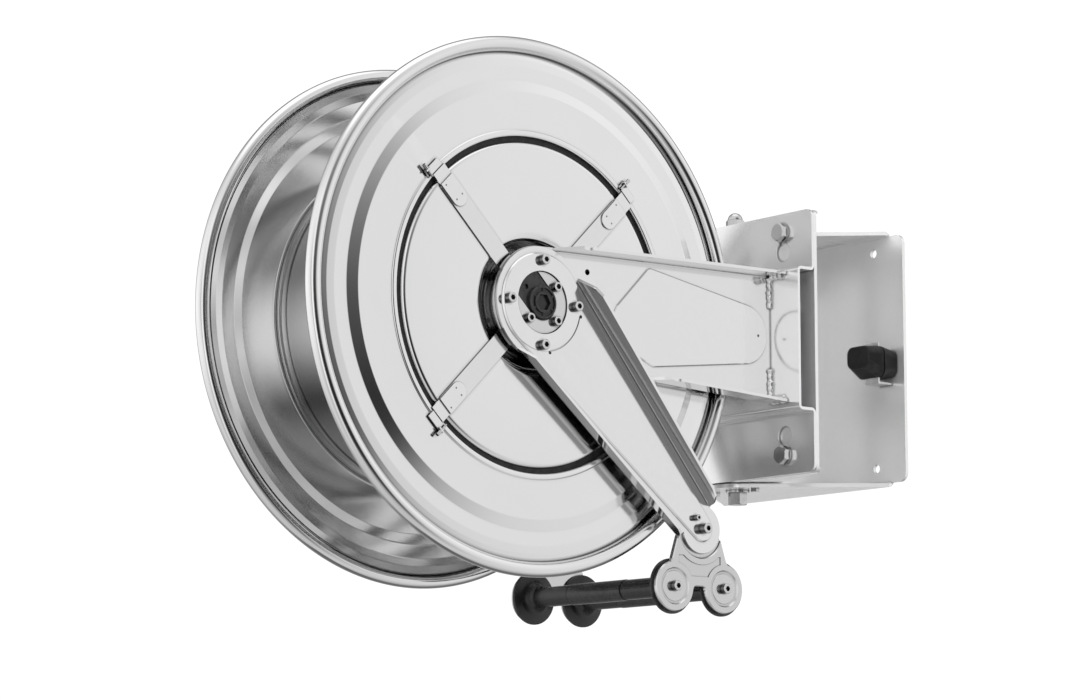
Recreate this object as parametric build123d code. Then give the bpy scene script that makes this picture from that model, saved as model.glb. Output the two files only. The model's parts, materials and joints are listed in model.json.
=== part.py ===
"""Spring-driven fire hose reel on a swivelling wall bracket, in stainless steel sheet.

Frame: +X points into the wall, +Y runs along the reel axis away from the inlet side, +Z is up.
The origin is the centre of the wall plate's bolt pattern, on its back face. Front pieces lie
towards -Y. "Out" is a distance along Y, away from a middle plane, the same on both sides.
All sizes are in millimetres.
"""
from build123d import *
from math import atan2, cos, degrees, hypot, pi, radians, sin
import os

os.makedirs("parts", exist_ok=True)

# ------------------------------------------------------------------ general fits
FIT = 0.3            # gap between pieces that only lie near each other
RUN = 0.06           # radial running clearance of a shaft in its hole
HOLE_PLAY = 0.4      # extra radius of a screw's clearance hole
SIDES = (-1, 1)      # front and rear, or near and far

# ------------------------------------------------------------------ wall bracket
WALL_SHEET = 4.0
BRACKET_HEIGHT = 272.0
WALL_PLATE_WIDTH = 298.0
WALL_EAR_DROP = 5.0          # the plate's corners end this far below the flanges
WALL_CORNER_R = 10.0
WALL_FLANGE_HALF = 127.5     # half width of a flange where it leaves the plate
WALL_BEND_R = 7.0
WALL_HOLES_Y = WALL_PLATE_WIDTH - 2 * 42.5
WALL_HOLES_Z = BRACKET_HEIGHT - 2 * 21.0
WALL_HOLE_R = 4.75
TOP_NOSE_R = 27.0            # stays behind the swivel plate
BOTTOM_NOSE_R = 34.0         # passes under the swivel plate
PIVOT_TO_WALL = 105.0        # vertical pivot axis to the plate's back face
PIVOT_X = -PIVOT_TO_WALL

# ------------------------------------------------------------------ pivot
PIVOT_BOLT_R = 6.0
BUSH_WALL = 2.0
BUSH_FLANGE_R = 12.0
BUSH_FLANGE_T = 1.0          # thrust washer between the stacked flanges
PIVOT_HEX_AF = 18.0
PIVOT_HEX_H = 13.0
PIVOT_WASHER_R = 12.5
PIVOT_WASHER_T = 2.5
CAP_NUT_H = 11.0
PAD_SCREW_Y = 30.5
PAD_SCREW_R = 2.5

# ------------------------------------------------------------------ swivel bracket and base
SWIVEL_SHEET = 4.0
SWIVEL_RISE = WALL_SHEET + BUSH_FLANGE_T     # stacked on the wall bracket's flanges
SWIVEL_PLATE_BACK = 28.6                     # pivot axis to the plate's back face
SWIVEL_NOSE_R = 33.0
BASE_WIDTH = 307.0
BASE_SHEET = 3.0
BASE_STEP = 20.4             # how far the base's middle stands proud of its flanges
BASE_MIDDLE_H = BRACKET_HEIGHT - 2 * 62.0
BASE_CORNER_R = 8.0
BASE_BEND_R = 5.0
BASE_BOLTS_Y = BASE_WIDTH - 2 * 43.0
BASE_BOLTS_Z = BRACKET_HEIGHT - 2 * 20.0
BASE_BOLT_R = 5.0
BASE_BOLT_AF = 17.0
BASE_BOLT_HEAD_H = 6.4
BASE_NUT_H = 8.0
BASE_WASHER_R = 10.0
BASE_WASHER_T = 2.0
KEYHOLE_R = 10.5
KEYHOLE_OFFSET = 20.0

# ------------------------------------------------------------------ bumpers
BUMPER_Y = 120.3
BUMPER_NOSE = (32.2, 22.8, -1.2)     # width, height and middle height of its three sections
BUMPER_WAIST = (40.0, 33.0, -5.5)
BUMPER_FOOT = (37.4, 27.6, -6.2)
BUMPER_REACH = 40.0          # from the wall plate's face
BUMPER_ROUND = 8.0
TAB_X = 19.0                 # tab's rear face from the wall plate's face
TAB_Y = 122.4
TAB_SHEET = 2.0
TAB_WIDTH = 19.0
TAB_TOP = 15.0
TAB_BOTTOM = -28.5

# ------------------------------------------------------------------ reel place
REEL_TO_BASE = 307.0         # reel axis to the base's middle face
REEL_RISE = 13.0             # reel axis above the wall bracket's middle
SWIVEL_PLATE_X = PIVOT_X - SWIVEL_PLATE_BACK - SWIVEL_SHEET
BASE_BACK_X = SWIVEL_PLATE_X
BASE_MIDDLE_X = BASE_BACK_X - BASE_SHEET - BASE_STEP
REEL_X = BASE_MIDDLE_X - REEL_TO_BASE
REEL_Z = REEL_RISE
DRUM_Y = -5.15               # drum's middle plane: the ratchet side needs more room

# ------------------------------------------------------------------ drum
DRUM_SHEET = 1.5
FLANGE_R = 265.0
RIM_OUT = 93.5               # flange's flat ring, from the drum's middle
DRUM_R = 165.0
ANNULUS_RISE = 3.8           # inner ring stands out from the flat ring
LIP_RISE = 1.2               # rolled lip round the disc, above the inner ring
LIP_WIDTH = 5.0
ANNULUS_R = 210.0
STEP_R = 221.0
BEND_R = 235.0
GROOVE_R = 243.0
BEAD_R = 7.5
COLLAR_DEPTH = 13.0
DISC_R = 160.0
DISC_SHOULDER_R = 5.0
DISC_SKIRT = 13.0
RECESS_LIP_R = 66.0
RECESS_R = 53.0
RECESS_DEPTH = 13.0
RECESS_LIP_BEND_R = 14.0
RECESS_FLOOR_BEND_R = 8.0
SEAL_DEPTH = 4.0             # edge seal's face below the disc's face
SEAL_T = 5.0
FACE_OUT = RIM_OUT + ANNULUS_RISE + LIP_RISE

# ------------------------------------------------------------------ hub and axle
AXLE_R = 16.0
AXLE_BORE_R = 10.0
AXLE_FLANGE_R = 30.0
AXLE_FLANGE_T = 6.0
HUB_BUSH_WALL = 3.0
HUB_BORE_R = AXLE_R + RUN + HUB_BUSH_WALL
HUB_NECK_R = 44.0
HUB_FLANGE_R = 54.0
HUB_FLANGE_T = 4.0
HUB_LENGTH = 26.0
HUB_SCREW_CIRCLE_R = 49.0
HUB_COUNTERBORE_R = AXLE_FLANGE_R + 2.0

# ------------------------------------------------------------------ tie straps
STRAP_WIDTH = 20.0
STRAP_T = 1.5
STRAP_START_R = 35.0
STRAP_END_R = 153.5
CLAMP_WIDTH = 18.2
CLAMP_T = 1.5
CLAMP_START_R = 124.0
CLAMP_END_R = DRUM_R + 2.0
CLIP_START_R = CLAMP_END_R + 1.3
CLIP_END_R = 176.0
LUG_WIDTH = 6.0
LUG_HEIGHT = 4.5
LUG_T = 1.5
STRAP_ANGLES = (45, 135, 225, 315)

# ------------------------------------------------------------------ arms
ARM_GAP = BASE_WIDTH - 2 * 44.5   # between the two fixed arms' inner faces
ARM_SHEET = 3.0
ARM_BEND_R = 4.5
ARM_HEAD_R = 56.0
ARM_TOP_Z = BASE_MIDDLE_H / 2 + SWIVEL_RISE - REEL_RISE - 4.0   # arm's edges at the base
ARM_BOTTOM_Z = SWIVEL_RISE - REEL_RISE - BASE_MIDDLE_H / 2 + 9.0
ARM_FLANGE_H = 28.5
ARM_EMBOSS = 1.5
OUTLET_HEAD_R = 55.0
OUTLET_TAIL_R = 24.5
OUTLET_LENGTH = 293.0
OUTLET_ANGLE = -45.0
OUTLET_CORNER_R = 5.0
OUTLET_CORNERS = ((OUTLET_LENGTH - 12.0, 22.5), (OUTLET_LENGTH - 20.0, -25.5))
OUTLET_UPPER_FLANGE_H = 25.0
OUTLET_LOWER_FLANGE_H = 15.0
OUTLET_PANEL_HEAD_R = 49.0
OUTLET_PANEL_TAIL_R = 13.5
OUTLET_EMBOSS = 2.0
WINDOW_R = 31.0              # opening in the outlet arm's head
HEAD_GROOVE_R = 47.7
HEAD_GROOVE_DEPTH = 0.9
PANEL_END = REEL_TO_BASE - 37.0
PANEL_END_R = 31.0
PANEL_END_Z = -4.0
NOTCH_WIDTH = 9.0
NOTCH_DEPTH = 3.0
HEAD_SCREW_PCD_R = 41.7
HEAD_SCREW_R = 3.0
CLAMP_PLATE_T = 4.0
CLAMP_SCREW_PCD_R = 23.8
ARM_INNER = ARM_GAP / 2
ARM_OUTER = ARM_INNER + ARM_SHEET

# ------------------------------------------------------------------ inlet
INLET_WIDTH = 35.0
INLET_NECK_R = 15.0
PLUG_R = 16.5
PLUG_T = 4.0
PLUG_RIB = 1.3
PLUG_SOCKET_AF = 15.0

# ------------------------------------------------------------------ rollers
ROLLER_SPACING = 66.0
ROLLER_DROP = 58.5           # roller axes below the outlet arm's end pivot
ROLLER_SHIFT = -2.0          # middle between the rollers, beside the end pivot
ROLLER_R = 10.8
ROLLER_END_R = 10.3
ROLLER_DISC_R = 27.5
ROLLER_JOINT = 42.0
ROLLER_TRUMPET = 22.0
ROLLER_AXLE_R = 5.0
ROLLER_SIDE_GAP = 0.5
GOGGLE_R = 25.0
GOGGLE_T = ARM_SHEET
GOGGLE_RAISE = 2.2           # lower part stands out round the outlet arm's tail
GOGGLE_TAIL_R = 29.0
GOGGLE_FIELD_R = 35.6
GOGGLE_FIELD_DEPTH = 0.8
GOGGLE_EYE_R = 18.6
GOGGLE_EYE_DEPTH = 1.4
GOGGLE_PAD_R = 15.3
GOGGLE_PAD = 0.6
GOGGLE_SCREW_R = 3.0

# ------------------------------------------------------------------ ratchet
RATCHET_TIP_R = 52.0
RATCHET_ROOT_R = 45.5
RATCHET_TEETH = 12
RATCHET_T = 4.0
RATCHET_SCREW_R = 2.5
PAWL_PIVOT = (62.0, 20.0)
PAWL_PIN_R = 4.0

# ------------------------------------------------------------------ spring motor and hose outlet
CASE_R = 112.0
CASE_SHEET = 2.0
CASE_LOW = 22.0
CASE_HIGH = FACE_OUT - DRUM_SHEET
SPRING_LOW = CASE_LOW + 6.0
SPRING_HIGH = 66.0
ARBOR_R = AXLE_R + 10.0
SPRING_T = 1.5
SPRING_HALF_TURNS = 13
SPRING_FIRST_R = 30.0
SPRING_PITCH = 12.0
OUTLET_PIPE_R = 13.5
OUTLET_BORE_R = 9.5
OUTLET_PORT_R = 12.0
OUTLET_PORT_DEPTH = 18.0
OUTLET_PIPE_ANGLE = 60.0
OUTLET_PIPE_Y = -30.0
COLLAR_R = AXLE_R + 10.0
COLLAR_HALF = 20.0

nodes = {}


def polygon(*points):
    """Closed straight-sided face in XY."""
    return make_face(Polyline(*points, close=True))


def hull(*shapes):
    """Convex outline round circles and polygons in XY."""
    edges = []
    for shape in shapes:
        edges.extend(shape.edges())
    return make_hull(edges)


def disc_at(x, y, radius):
    return Pos(x, y) * Circle(radius)


def polar(radius, angle):
    return radius * cos(radians(angle)), radius * sin(radians(angle))


def front(part):
    """Turns a piece drawn with local Z pointing out so that Z points to the front."""
    return Rot(90, 0, 0) * part


def rear(part):
    return mirror(front(part), about=Plane.XZ)


def on_arm(part, side):
    """Places a piece drawn about the reel axis, local Z measured from the arms' middle plane."""
    turned = front(part) if side < 0 else rear(part)
    return Pos(REEL_X, 0, REEL_Z) * turned


def on_drum(part, side):
    """As on_arm, from the drum's own middle plane."""
    turned = front(part) if side < 0 else rear(part)
    return Pos(REEL_X, DRUM_Y, REEL_Z) * turned


def revolved(section):
    """Revolves a face drawn in XZ, radius along X, about the local Z axis."""
    return revolve(Plane.XZ * section, axis=Axis.Z)


def ring(inner, outer, low, high):
    return Pos(0, 0, low) * extrude(Circle(outer) - Circle(inner), high - low)


def rod(radius, low, high):
    return Pos(0, 0, low) * extrude(Circle(radius), high - low)


def hexagon(across_flats):
    return RegularPolygon(across_flats / 2, 6, major_radius=False)


def socket_screw(head_r, head_h, shank_r, shank_length, socket_af):
    """Socket head cap screw, seat at Z 0, head upwards."""
    head = rod(head_r, 0, head_h)
    head = chamfer(head.edges().filter_by(GeomType.CIRCLE).sort_by(Axis.Z)[-1], head_r * 0.09)
    head -= Pos(0, 0, head_h * 0.4) * extrude(hexagon(socket_af), head_h)
    return head + rod(shank_r, -shank_length, 0)


def hex_head(across_flats, height):
    """Hexagon with the chamfered top of a bolt head or nut, seat at Z 0."""
    cone = Cone(across_flats * 0.5 + height * 1.732, across_flats * 0.5 * 0.98, height,
                align=(Align.CENTER, Align.CENTER, Align.MIN))
    return extrude(hexagon(across_flats), height) & cone


def sheet_section(points, radii, sheet, side):
    """Section of a bent sheet from the path of one of its faces."""
    path = FilletPolyline(*points, radius=radii)
    return make_face(offset(path, amount=sheet, side=side))


# ================================================================== wall side
def c_bracket(width, sheet, reach, bend):
    """C section of a folded bracket, back face at X 0, opening towards -X."""
    half = BRACKET_HEIGHT / 2
    outer = Pos(-reach / 2, 0) * Rectangle(reach, 2 * half)
    outer = fillet(outer.vertices().group_by(Axis.X)[-1], bend)
    inner_reach = reach - sheet
    inner = Pos(-sheet - inner_reach / 2 - 1, 0) * Rectangle(inner_reach + 2, 2 * (half - sheet))
    inner = fillet(inner.vertices().group_by(Axis.X)[-1], bend - sheet)
    return extrude(Plane.XZ * (outer - inner), width / 2, both=True)


def make_wall_bracket():
    reach = PIVOT_TO_WALL + BOTTOM_NOSE_R
    half = BRACKET_HEIGHT / 2
    folded = c_bracket(2 * WALL_FLANGE_HALF, WALL_SHEET, reach, WALL_BEND_R)
    roots = polygon(
        (0, -WALL_FLANGE_HALF), (0, WALL_FLANGE_HALF),
        (-WALL_BEND_R, WALL_FLANGE_HALF), (-WALL_BEND_R, -WALL_FLANGE_HALF))
    top_shape = hull(disc_at(PIVOT_X, 0, TOP_NOSE_R), roots)
    bottom_shape = hull(disc_at(PIVOT_X, 0, BOTTOM_NOSE_R), roots)
    keep = extrude(top_shape, half + 1)
    keep += extrude(bottom_shape, -half - 1)
    bracket = folded & keep
    ears = Pos(-WALL_SHEET, 0, 0) * extrude(
        Plane.YZ * RectangleRounded(WALL_PLATE_WIDTH, BRACKET_HEIGHT - 2 * WALL_EAR_DROP, WALL_CORNER_R),
        WALL_SHEET)
    bracket += ears
    for y in SIDES:
        for z in SIDES:
            hole = Rot(0, 90, 0) * Cylinder(WALL_HOLE_R, 4 * WALL_SHEET)
            bracket -= Pos(0, y * WALL_HOLES_Y / 2, z * WALL_HOLES_Z / 2) * hole
    bracket -= Pos(PIVOT_X, 0, 0) * Cylinder(PIVOT_BOLT_R + FIT, BRACKET_HEIGHT + 10)
    for y in SIDES:
        bracket -= Pos(PIVOT_X - 3, y * PAD_SCREW_Y, -half) * Cylinder(PAD_SCREW_R, 4 * WALL_SHEET)
    return bracket


def bumper_section(size, x):
    width, height, middle = size
    return Pos(x, 0, middle) * (Plane.YZ * RectangleRounded(width, height, BUMPER_ROUND))


def make_bumpers():
    """Rubber blocks that stop the swivel, each in two drafted halves on a tab."""
    blocks = Part()
    nose_x = -WALL_SHEET - BUMPER_REACH
    nose_end = -WALL_SHEET - TAB_X - TAB_SHEET
    for y in SIDES:
        nose = loft([bumper_section(BUMPER_NOSE, nose_x), bumper_section(BUMPER_WAIST, nose_end)])
        nose = chamfer(nose.faces().sort_by(Axis.X)[0].edges(), 1.2)
        foot = loft([
            bumper_section(BUMPER_WAIST, nose_end + TAB_SHEET), bumper_section(BUMPER_FOOT, -WALL_SHEET)])
        blocks += Pos(0, y * BUMPER_Y, 0) * nose + Pos(0, y * BUMPER_Y, 0) * foot
    return blocks


def make_bumper_tabs():
    """Upright plate between the two rubber halves, with a foot back to the wall plate."""
    tabs = Part()
    front_x = -WALL_SHEET - TAB_X - TAB_SHEET
    for y in SIDES:
        corner = Pos(front_x, y * TAB_Y - TAB_WIDTH / 2, TAB_BOTTOM)
        tabs += corner * Box(TAB_SHEET, TAB_WIDTH, TAB_TOP - TAB_BOTTOM, align=Align.MIN)
        tabs += corner * Box(TAB_X + TAB_SHEET, TAB_WIDTH, TAB_SHEET, align=Align.MIN)
    return tabs


def make_pivot_bolt():
    """Long flanged bolt up through both brackets."""
    half = BRACKET_HEIGHT / 2
    top = half + SWIVEL_RISE + PIVOT_WASHER_T
    washer = rod(PIVOT_WASHER_R, -half - PIVOT_WASHER_T, -half)
    head = Pos(0, 0, -half - PIVOT_WASHER_T) * (Rot(180, 0, 0) * hex_head(PIVOT_HEX_AF, PIVOT_HEX_H))
    shank = rod(PIVOT_BOLT_R, -half, top)
    return Pos(PIVOT_X, 0, 0) * (washer + head + shank)


def make_pivot_nut():
    """Washer and domed nut on the bolt's upper end."""
    base = BRACKET_HEIGHT / 2 + SWIVEL_RISE
    washer = ring(PIVOT_BOLT_R, PIVOT_WASHER_R, base, base + PIVOT_WASHER_T)
    dome_base = base + PIVOT_WASHER_T
    nut = Pos(0, 0, dome_base) * hex_head(PIVOT_HEX_AF, CAP_NUT_H)
    dome_r = PIVOT_HEX_AF * 0.45
    dome = Pos(0, 0, dome_base + CAP_NUT_H) * (Sphere(dome_r) & Pos(0, 0, dome_r / 2) * Box(
        2 * dome_r, 2 * dome_r, dome_r))
    return Pos(PIVOT_X, 0, 0) * (washer + nut + dome)


def make_pivot_bushes():
    """Plain bushes in the swivel bracket's two flanges, each with a thrust collar under it."""
    bushes = Part()
    half = BRACKET_HEIGHT / 2
    for low in (-half + WALL_SHEET, half):
        collar = ring(PIVOT_BOLT_R + RUN, BUSH_FLANGE_R, low, low + BUSH_FLANGE_T)
        sleeve_low = low + BUSH_FLANGE_T
        sleeve = ring(PIVOT_BOLT_R + RUN, PIVOT_BOLT_R + BUSH_WALL, sleeve_low, sleeve_low + SWIVEL_SHEET)
        bushes += Pos(PIVOT_X, 0, 0) * (collar + sleeve)
    return bushes


def make_pad_screws():
    """Two small hexagon screws under the bracket's lower flange, either side of the pivot."""
    screws = Part()
    half = BRACKET_HEIGHT / 2
    for y in SIDES:
        head = Rot(180, 0, 0) * hex_head(3.2 * PAD_SCREW_R, 1.6 * PAD_SCREW_R)
        shank = rod(PAD_SCREW_R, 0, WALL_SHEET)
        screws += Pos(PIVOT_X - 3, y * PAD_SCREW_Y, -half) * (head + shank)
    return screws


# ================================================================== swivel frame
def make_swivel_bracket():
    """Folded bracket whose flanges rest on the wall bracket's flanges through the bushes."""
    reach = SWIVEL_PLATE_BACK + SWIVEL_SHEET + SWIVEL_NOSE_R
    half_width = BASE_WIDTH / 2
    folded = c_bracket(BASE_WIDTH, SWIVEL_SHEET, reach, WALL_BEND_R)
    axis_x = -SWIVEL_PLATE_BACK - SWIVEL_SHEET
    root = polygon(
        (0, -half_width), (0, half_width), (-WALL_BEND_R, half_width), (-WALL_BEND_R, -half_width))
    keep = extrude(hull(disc_at(axis_x, 0, SWIVEL_NOSE_R), root), BRACKET_HEIGHT, both=True)
    plate_corners = extrude(
        Plane.YZ * RectangleRounded(BASE_WIDTH, BRACKET_HEIGHT, BASE_CORNER_R), 2 * reach, both=True)
    bracket = folded & keep & plate_corners
    bracket -= Pos(axis_x, 0, 0) * Cylinder(PIVOT_BOLT_R + BUSH_WALL, BRACKET_HEIGHT + 10)
    for y in SIDES:
        for z in SIDES:
            hole = Rot(0, 90, 0) * Cylinder(BASE_BOLT_R + HOLE_PLAY, 4 * SWIVEL_SHEET)
            bracket -= Pos(0, y * BASE_BOLTS_Y / 2, z * BASE_BOLTS_Z / 2) * hole
    turned = mirror(bracket, about=Plane.YZ)
    return Pos(SWIVEL_PLATE_X, 0, SWIVEL_RISE) * turned


def make_base_channel():
    """Hat-section base that carries both arms, hung on four bolts by keyholes."""
    half = BRACKET_HEIGHT / 2
    mid = BASE_MIDDLE_H / 2
    front_points = [
        (-BASE_SHEET, half), (-BASE_SHEET, mid), (-BASE_SHEET - BASE_STEP, mid),
        (-BASE_SHEET - BASE_STEP, -mid), (-BASE_SHEET, -mid), (-BASE_SHEET, -half)]
    bends = [BASE_BEND_R - BASE_SHEET, BASE_BEND_R, BASE_BEND_R, BASE_BEND_R - BASE_SHEET]
    section = sheet_section(front_points, bends, BASE_SHEET, Side.LEFT)
    channel = extrude(Plane.XZ * section, BASE_WIDTH / 2, both=True)
    channel &= extrude(
        Plane.YZ * RectangleRounded(BASE_WIDTH, BRACKET_HEIGHT, BASE_CORNER_R), 100, both=True)
    for y in SIDES:
        for z in SIDES:
            bolt = Pos(y * BASE_BOLTS_Y / 2, z * BASE_BOLTS_Z / 2)
            big = Pos(y * BASE_BOLTS_Y / 2, z * (BASE_BOLTS_Z / 2 - KEYHOLE_OFFSET))
            slot_r = BASE_BOLT_R + HOLE_PLAY
            middle = Pos(y * BASE_BOLTS_Y / 2, z * (BASE_BOLTS_Z - KEYHOLE_OFFSET) / 2)
            keyhole = bolt * Circle(slot_r) + big * Circle(KEYHOLE_R)
            keyhole += middle * Rectangle(2 * slot_r, KEYHOLE_OFFSET)
            channel -= extrude(Plane.YZ * keyhole, 10, both=True)
    return Pos(BASE_BACK_X, 0, SWIVEL_RISE) * channel


def base_spots():
    for y in SIDES:
        for z in SIDES:
            yield Pos(0, y * BASE_BOLTS_Y / 2, SWIVEL_RISE + z * BASE_BOLTS_Z / 2)


def make_base_bolts():
    """Hexagon bolts with washers, heads towards the reel."""
    washer_x = BASE_BACK_X - BASE_SHEET - BASE_WASHER_T
    length = BASE_WASHER_T + BASE_SHEET + SWIVEL_SHEET + BASE_NUT_H + 1
    bolts = Part()
    for spot in base_spots():
        bolt = rod(BASE_WASHER_R, -BASE_WASHER_T, 0) + hex_head(BASE_BOLT_AF, BASE_BOLT_HEAD_H)
        bolt += rod(BASE_BOLT_R, -length, 0)
        bolts += spot * Pos(washer_x, 0, 0) * Rot(0, -90, 0) * bolt
    return bolts


def make_base_nuts():
    nuts = Part()
    for spot in base_spots():
        nut = hex_head(BASE_BOLT_AF, BASE_NUT_H) - rod(BASE_BOLT_R, -1, BASE_NUT_H + 1)
        nuts += spot * Pos(SWIVEL_PLATE_X + SWIVEL_SHEET, 0, 0) * Rot(0, 90, 0) * nut
    return nuts


# ================================================================== arms
def slid_corner(corner, reach):
    """Centre of an edge-corner arc slid along the outlet arm's straight edge."""
    x, y = corner
    head = (OUTLET_HEAD_R - OUTLET_CORNER_R) * (1.0045 if y > 0 else -1.0045)
    return reach, y + (y - head) / x * (reach - x)


def outlet_body(grow):
    """Outline of the outlet arm without its round tail, along X."""
    corners = [disc_at(*corner, OUTLET_CORNER_R + grow) for corner in OUTLET_CORNERS]
    return hull(disc_at(0, 0, OUTLET_HEAD_R + grow), *corners)


def outlet_long_body(grow):
    """The same edges run on past the tail, so that a flange can end before its corner."""
    reach = OUTLET_LENGTH + 27
    corners = [disc_at(*slid_corner(corner, reach), OUTLET_CORNER_R + grow) for corner in OUTLET_CORNERS]
    return hull(disc_at(0, 0, OUTLET_HEAD_R + grow), *corners)


def outlet_outline(grow):
    return outlet_body(grow) + disc_at(OUTLET_LENGTH, 0, OUTLET_TAIL_R + grow)


def side_prism(points, side):
    """Prism across one half of an arm, from its side outline in X and Z."""
    return extrude(Plane.XZ * polygon(*points), -side * 150)


def pan(outline, inner, height, open_x):
    """Stamped sheet with a rolled edge turned up all round, except beyond open_x."""
    outside = extrude(outline, height)
    edges = [e for e in outside.faces().sort_by(Axis.Z)[0].edges() if e.center().X < open_x]
    outside = fillet(edges, ARM_BEND_R)
    inside = Pos(0, 0, ARM_SHEET) * extrude(inner, height)
    edges = [e for e in inside.faces().sort_by(Axis.Z)[0].edges() if e.center().X < open_x]
    inside = fillet(edges, ARM_BEND_R - ARM_SHEET)
    return outside - inside


def raised(panel, rise):
    """Pad that stands out of an arm's sheet, with sloping sides."""
    pad = extrude(panel, ARM_SHEET + rise)
    return chamfer(pad.faces().sort_by(Axis.Z)[-1].edges(), rise * 0.8)


def arm_profile(inset):
    end = REEL_TO_BASE
    top = ARM_TOP_Z - inset
    bottom = ARM_BOTTOM_Z + inset
    root = polygon((end - 1, top), (end, top), (end, bottom), (end - 1, bottom))
    return hull(disc_at(0, 0, ARM_HEAD_R - inset), root)


def arm_panel(inset):
    corners = [(143, 42.5), (105, 4), (92, -19), (147, -42)]
    shapes = [disc_at(x, z, 7.5 - inset) for x, z in corners]
    panel = hull(disc_at(PANEL_END, PANEL_END_Z, PANEL_END_R - inset), *shapes)
    return panel - Rot(0, 0, OUTLET_ANGLE) * outlet_body(1.5 + inset)


def head_screw_spots():
    return [Pos(*polar(HEAD_SCREW_PCD_R, 90 * k)) for k in range(4)]


def clamp_screw_spots(count):
    return [Pos(*polar(CLAMP_SCREW_PCD_R, 225 + 90 * k)) for k in range(count)]


def flange_notch(x, low, high):
    """Cutter for a small notch in the free edge of an arm's flange."""
    return Pos(x - NOTCH_WIDTH / 2, low, ARM_FLANGE_H - NOTCH_DEPTH) * Box(
        NOTCH_WIDTH, high - low, NOTCH_DEPTH + 1, align=Align.MIN)


def fixed_arm(clamp_holes):
    """Fixed arm about the reel axis, sheet from ARM_INNER outwards, flanges turned out."""
    end = REEL_TO_BASE
    height = ARM_FLANGE_H
    sheet = pan(arm_profile(0), arm_profile(ARM_SHEET), height, end - 2)
    flat = extrude(arm_profile(0), ARM_SHEET)
    top = side_prism(
        [(17, -1), (17, 3), (37, height + 1), (end + 1, height + 1), (end + 1, -1)], 1)
    bottom = side_prism(
        [(135, -1), (135, 3), (150, height + 1), (end + 1, height + 1), (end + 1, -1)], -1)
    flanged = top + bottom
    arm = (sheet & flanged) + (flat - flanged)
    arm -= flange_notch(43, 40, 70) + flange_notch(158, -90, -50)
    arm += raised(arm_panel(0), ARM_EMBOSS)
    arm -= extrude(arm_panel(2.5), ARM_EMBOSS)
    arm -= rod(INLET_NECK_R + FIT, -1, ARM_SHEET + 1)
    arm -= Pos(61, 37) * rod(3, -1, ARM_SHEET + 1)
    dot = Pos(PANEL_END + 0.6 * PANEL_END_R, PANEL_END_Z)
    arm -= dot * rod(1.5, -1, ARM_SHEET + ARM_EMBOSS + 1)
    for spot in head_screw_spots() + clamp_screw_spots(clamp_holes):
        arm -= spot * rod(HEAD_SCREW_R, -1, ARM_SHEET + 1)
    return Pos(0, 0, ARM_INNER) * arm


def fixed_arm_rear():
    """As the front arm, with a fourth clamp screw's hole and the pawl pin's hole."""
    hole = Pos(*PAWL_PIVOT) * rod(PAWL_PIN_R - 1, -1, ARM_SHEET + 1)
    return fixed_arm(4) - Pos(0, 0, ARM_INNER) * hole


def outlet_panel(inset):
    return hull(
        disc_at(0, 0, OUTLET_PANEL_HEAD_R - inset),
        disc_at(OUTLET_LENGTH, 0, OUTLET_PANEL_TAIL_R - inset))


def outlet_arm():
    """Arm that carries the guide rollers, sheet on top of the fixed arm's, drawn along X."""
    high = OUTLET_UPPER_FLANGE_H
    low = OUTLET_LOWER_FLANGE_H
    sheet = pan(outlet_long_body(0), outlet_long_body(-ARM_SHEET), high, 400)
    flat = extrude(outlet_outline(0), ARM_SHEET)
    end = OUTLET_LENGTH - 9
    upper = side_prism(
        [(13, -1), (13, 3), (26, high - 4), (36, high), (end - 19, high - 4), (end - 9, high - 7),
         (end - 2, high - 14), (end, 4), (end, -1)], 1)
    end = OUTLET_LENGTH - 16
    lower = side_prism(
        [(14, -1), (14, 3), (29, low), (end - 10, low - 2), (end - 3, low - 5), (end, 4), (end, -1)], -1)
    flanged = upper + lower
    arm = (sheet & flanged) + (flat - flanged)
    arm += raised(outlet_panel(0), OUTLET_EMBOSS)
    hollow = outlet_panel(3.5) & Pos(165, 0) * Rectangle(195, 120)
    arm -= extrude(hollow, OUTLET_EMBOSS)
    arm += rod(OUTLET_PANEL_HEAD_R - 1.5, 0, ARM_SHEET + OUTLET_EMBOSS + 0.5)
    arm -= rod(WINDOW_R, -1, 20)
    top = ARM_SHEET + OUTLET_EMBOSS + 0.5
    wedge = polygon((0, 0), polar(90, -34), polar(90, 34))
    groove = (Circle(HEAD_GROOVE_R + 0.9) - Circle(HEAD_GROOVE_R - 0.9)) & wedge
    arm -= Pos(0, 0, top - 0.5 - HEAD_GROOVE_DEPTH) * extrude(groove, 5)
    for k in range(4):
        arm -= Pos(*polar(HEAD_SCREW_PCD_R, 45 + 90 * k)) * rod(HEAD_SCREW_R, -1, 20)
    for n in SIDES:
        arm -= Pos(40.7, 27.5 * n) * rod(1.8, -1, 20)
    arm -= Pos(OUTLET_LENGTH, 0) * rod(HEAD_SCREW_R, -1, 20)
    arm -= Pos(OUTLET_LENGTH - 14.5, 0) * rod(2, -1, 20)
    return Rot(0, 0, OUTLET_ANGLE) * Pos(0, 0, ARM_OUTER) * arm


def head_screws():
    seat = ARM_OUTER + ARM_SHEET + OUTLET_EMBOSS + 0.5
    screws = Part()
    for spot in head_screw_spots():
        length = seat - ARM_INNER
        screws += spot * Pos(0, 0, seat) * socket_screw(5, 6, HEAD_SCREW_R - 0.05, length, 5)
    return screws


def clamp_plate(slotted):
    """Round plate in the outlet arm's window that holds the axle's end to the fixed arm."""
    plate = extrude(Circle(WINDOW_R - FIT), CLAMP_PLATE_T)
    plate = chamfer(plate.faces().sort_by(Axis.Z)[-1].edges(), 0.6)
    if slotted:
        plate -= extrude(inlet_outline(FIT), CLAMP_PLATE_T)
    for spot in clamp_screw_spots(3 if slotted else 4):
        plate -= spot * rod(HEAD_SCREW_R, -1, CLAMP_PLATE_T + 1)
    return Pos(0, 0, ARM_OUTER) * plate


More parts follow.
